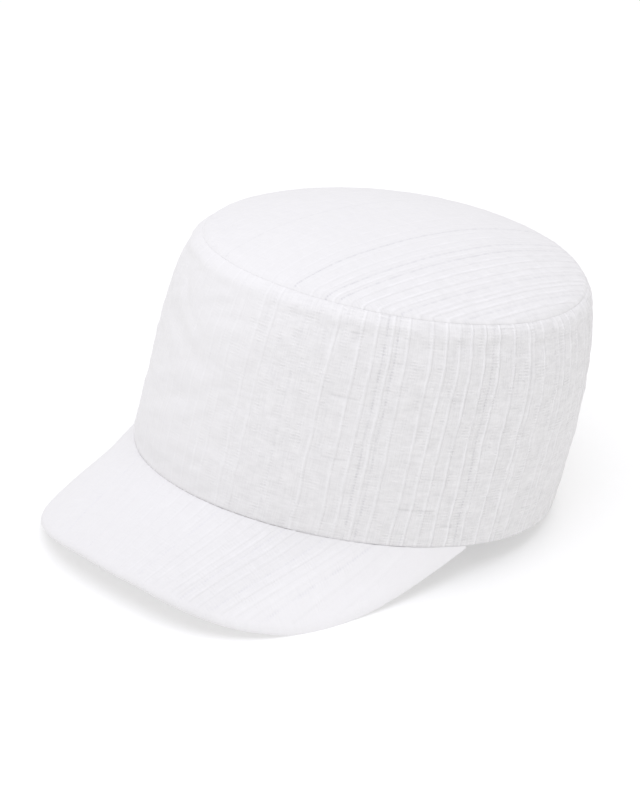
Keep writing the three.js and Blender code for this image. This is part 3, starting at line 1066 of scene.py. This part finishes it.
# A wave texture of scale 1 has a band every pi / 10 of its own units
WAVE_SCALE = math.pi / 10
# How much each part of the pattern lifts or lowers the threads, on a scale of 1
RIB_LIFT, CRINKLE_LIFT, BLOTCH_LIFT, WARP_LIFT = 0.45, 0.7, 0.45, 0.6
SLUB_FALL, SHADE_FALL = 0.45, 0.3
# How far the painted light whitens the cloth where its mark is 1
PAINTED_LIGHT_WHITENS = 0.12
THREAD_BUMP, HOLE_BUMP = 0.0003, 0.0001
# Colours of the painted shade in hollows, of the crests, of the painted light and of the cords
PAINTED_HOLLOW_SHADE, CREST, PAINTED_LIGHT_WHITE, CORD_WHITE = "#DFDEDF", "#FBFAFB", "#FBFAFC", "#FBFAFC"


def noise_over(tree, flat, size_mm, detail=2.0, shift=(0, 0, 0)):
    """Noise on the flat cloth, one ripple being size_mm across and along the stripes."""
    placed = add_node(tree, "ShaderNodeMapping", {}, {
        "Vector": flat, "Scale": (1 / size_mm[0], 1 / size_mm[1], 1), "Location": shift})
    texture = add_node(tree, "ShaderNodeTexNoise", {"noise_dimensions": "2D"}, {
        "Vector": placed.outputs["Vector"], "Scale": 1.0, "Detail": detail, "Roughness": 0.6})
    return texture.outputs["Fac"]


def bands_along(tree, flat, pitch_mm, distortion):
    """Soft bands across the stripes, one every pitch_mm."""
    return add_node(tree, "ShaderNodeTexWave",
                    {"wave_type": "BANDS", "bands_direction": "Y", "wave_profile": "SIN"},
                    {"Vector": flat, "Scale": WAVE_SCALE / pitch_mm, "Distortion": distortion,
                     "Detail": 1.0, "Detail Scale": 6.0}).outputs["Fac"]


def calculate(tree, operation, first, second=0.0):
    return add_node(tree, "ShaderNodeMath", {"operation": operation},
                    {0: first, 1: second}).outputs["Value"]


def between(tree, value, low, high, to_low=0.0, to_high=1.0):
    """Value from low to high, mapped onto to_low to to_high and kept inside them."""
    return add_node(tree, "ShaderNodeMapRange", {"clamp": True}, {
        "Value": value, "From Min": low, "From Max": high, "To Min": to_low,
        "To Max": to_high}).outputs["Result"]


# The colour sockets of a mix node, which has others of the same names
FIRST_COLOUR, SECOND_COLOUR, MIXED_COLOUR = 6, 7, 2


def tint(tree, factor, first, second):
    inputs = {"Factor": factor, FIRST_COLOUR: first, SECOND_COLOUR: second}
    return add_node(tree, "ShaderNodeMix", {"data_type": "RGBA"}, inputs).outputs[MIXED_COLOUR]


def white_cotton(name, hole_painted_shade, cord_gaps):
    """Cotton stripe cloth: matt, with raised white cords, openwork ladders and fine threads.
    cord_gaps is how far the cords fade in places."""
    material = bpy.data.materials.new(name)
    material.use_nodes = True
    tree = material.node_tree
    tree.nodes.clear()
    flat = add_node(tree, "ShaderNodeUVMap", {"uv_map": "cloth_mm"}).outputs["UV"]
    openwork, cord, painted_shade, fringe, slub, painted_light, crisp = [
        add_node(tree, "ShaderNodeAttribute", {"attribute_name": mark}).outputs["Fac"]
        for mark in ("openwork", "cord", "painted_shade", "fringe", "slub", "painted_light", "crisp")
    ]
    calc, scaled = partial(calculate, tree), partial(between, tree)
    noise_of, bands = partial(noise_over, tree, flat), partial(bands_along, tree, flat)

    # Ladders: a hole every RUNG_PITCH millimetres, some of them nearly closed. Each hole is
    # painted with the shade of the cap's inside.
    rungs = scaled(bands(RUNG_PITCH, 0.0), 0.15, 0.9, 0.35, 1.0)
    uneven = scaled(noise_of(HOLE_PATCH), 0.38, 0.62, 0.2, 1.0)
    hole = calc("MULTIPLY", rungs, calc("POWER", openwork, 1.3))
    hole = calc("MULTIPLY", hole, uneven)

    # Ribs: bunched crosswise threads, beside every ladder and in patches elsewhere
    patches = scaled(noise_of(RIB_PATCH, 1.0), 0.5, 0.66)
    rib_end = scaled(noise_of(RIB_END, 1.0, (5, 1, 0)), 0.4, 0.6, 0.2, 1.0)
    ribbed = calc("MAXIMUM", calc("MULTIPLY", fringe, 1.2), patches)
    ribbed = calc("MULTIPLY", ribbed, rib_end)
    rib_lines = bands(RIB_PITCH, 1.6)
    ribs = calc("MULTIPLY", calc("SUBTRACT", rib_lines, 0.5), ribbed)

    # Crinkle of the loose crosswise threads, and the fine lengthwise threads
    crinkle = calc("SUBTRACT", noise_of(CRINKLE, 3.0), 0.5)
    blotch = calc("SUBTRACT", noise_of(BLOTCH, 2.0, (7, 3, 0)), 0.5)
    warp = calc("SUBTRACT", noise_of(WARP), 0.5)
    lift = calc("MULTIPLY", ribs, RIB_LIFT)
    for part, share in ((crinkle, CRINKLE_LIFT), (blotch, BLOTCH_LIFT), (warp, WARP_LIFT)):
        lift = calc("ADD", lift, calc("MULTIPLY", part, share))
    lift = calc("MULTIPLY", lift, crisp)
    # Slubs and the painted shade lower the lift, which darkens the colour and the bump below
    slub_line = calc("POWER", slub, 3.0)
    for part, share in ((slub_line, SLUB_FALL), (painted_shade, SHADE_FALL)):
        lift = calc("SUBTRACT", lift, calc("MULTIPLY", part, share))

    # Colour: hollows get painted shade, greyer, and crests stay white. The seam band and the
    # peak's left end get painted light, whiter. Cords are whitest.
    level = scaled(lift, -0.5, 0.5)
    ground = tint(tree, level, to_linear(PAINTED_HOLLOW_SHADE), to_linear(CREST))
    whitened = calc("MULTIPLY", painted_light, PAINTED_LIGHT_WHITENS)
    ground = tint(tree, whitened, ground, to_linear(PAINTED_LIGHT_WHITE))
    gaps = scaled(noise_of(CORD_GAP, 1.0, (2, 9, 0)), 0.38, 0.6, 1 - cord_gaps, 1.0)
    live_cord = calc("MULTIPLY", cord, gaps)
    with_cords = tint(tree, live_cord, ground, to_linear(CORD_WHITE))
    # Holes are painted with the shade of the cap's inside
    coloured = tint(tree, hole, with_cords, to_linear(hole_painted_shade))

    thread_bump = add_node(tree, "ShaderNodeBump", {},
                           {"Strength": 1.0, "Distance": THREAD_BUMP, "Height": lift})
    hole_bump = add_node(tree, "ShaderNodeBump", {"invert": True},
                         {"Strength": 1.0, "Distance": HOLE_BUMP, "Height": hole,
                          "Normal": thread_bump.outputs["Normal"]})
    shader = add_node(tree, "ShaderNodeBsdfPrincipled", {}, {
        "Base Color": coloured, "Roughness": 0.92, "IOR": 1.5,
        "Specular IOR Level": 0.25, "Sheen Weight": 0.12, "Sheen Roughness": 0.5,
        "Normal": hole_bump.outputs["Normal"],
    })
    add_node(tree, "ShaderNodeOutputMaterial", {}, {"Surface": shader.outputs["BSDF"]})
    return material


# Each piece gives the grey of the painted shade in its holes, and how far its cords fade
for piece, name, hole_painted_shade, cord_gaps in (
    (crown_side, "white_cotton_wall", "#D6D5D8", 0.5),
    (crown_top, "white_cotton_top", "#D6D5D9", 0.8),
    (peak, "white_cotton_peak", "#E8E7EB", 0.9),
):
    cloth = white_cotton(name, hole_painted_shade, cord_gaps)
    piece.data.materials.append(cloth)
    print(name, len(cloth.node_tree.nodes), "nodes")

# %% [markdown]
# ## Floor and light
# The cap lies on a white table in a bright, soft studio. White on white only shows by small
# differences of light, so the room is lit evenly from all round, and one large lamp at the upper
# left makes the top and the left of the cap a little brighter than its right.

# %% Floor
TABLE_WIDTH = 12
TABLE_GLOW = 0.38

bpy.ops.mesh.primitive_plane_add(size=TABLE_WIDTH, location=(0, 0, 0))
floor = bpy.context.object
floor.name = "floor"
table_white = bpy.data.materials.new("white_table_laminate")
table_white.use_nodes = True
set_inputs(table_white.node_tree, table_white.node_tree.nodes["Principled BSDF"], {
    "Base Color": to_linear("#D4D4D4"), "Roughness": 0.8,
    "Emission Color": to_linear("#FFFFFF"), "Emission Strength": TABLE_GLOW})
floor.data.materials.append(table_white)

# %% Light
ROOM_LIGHT = 0.68
KEY_WATTS = 18
KEY_SIZE = 2.0
KEY_FROM = Vector((-0.05, -0.38, 1.8))

world = bpy.data.worlds.new("studio")
bpy.context.scene.world = world
world.use_nodes = True
set_inputs(world.node_tree, world.node_tree.nodes["Background"],
           {"Color": to_linear("#FFFEFC"), "Strength": ROOM_LIGHT})

bpy.ops.object.light_add(type="AREA", location=KEY_FROM)
key = bpy.context.object
key.name = "key_lamp"
key.data.shape = "DISK"
key.data.size = KEY_SIZE
key.data.energy = KEY_WATTS
key.data.color = to_linear("#F3F4FF")[:3]
key.rotation_euler = KEY_FROM.to_track_quat("Z", "Y").to_euler()
bpy.context.scene.view_settings.view_transform = "Standard"
print("room light", ROOM_LIGHT, "key lamp", KEY_WATTS, "W")
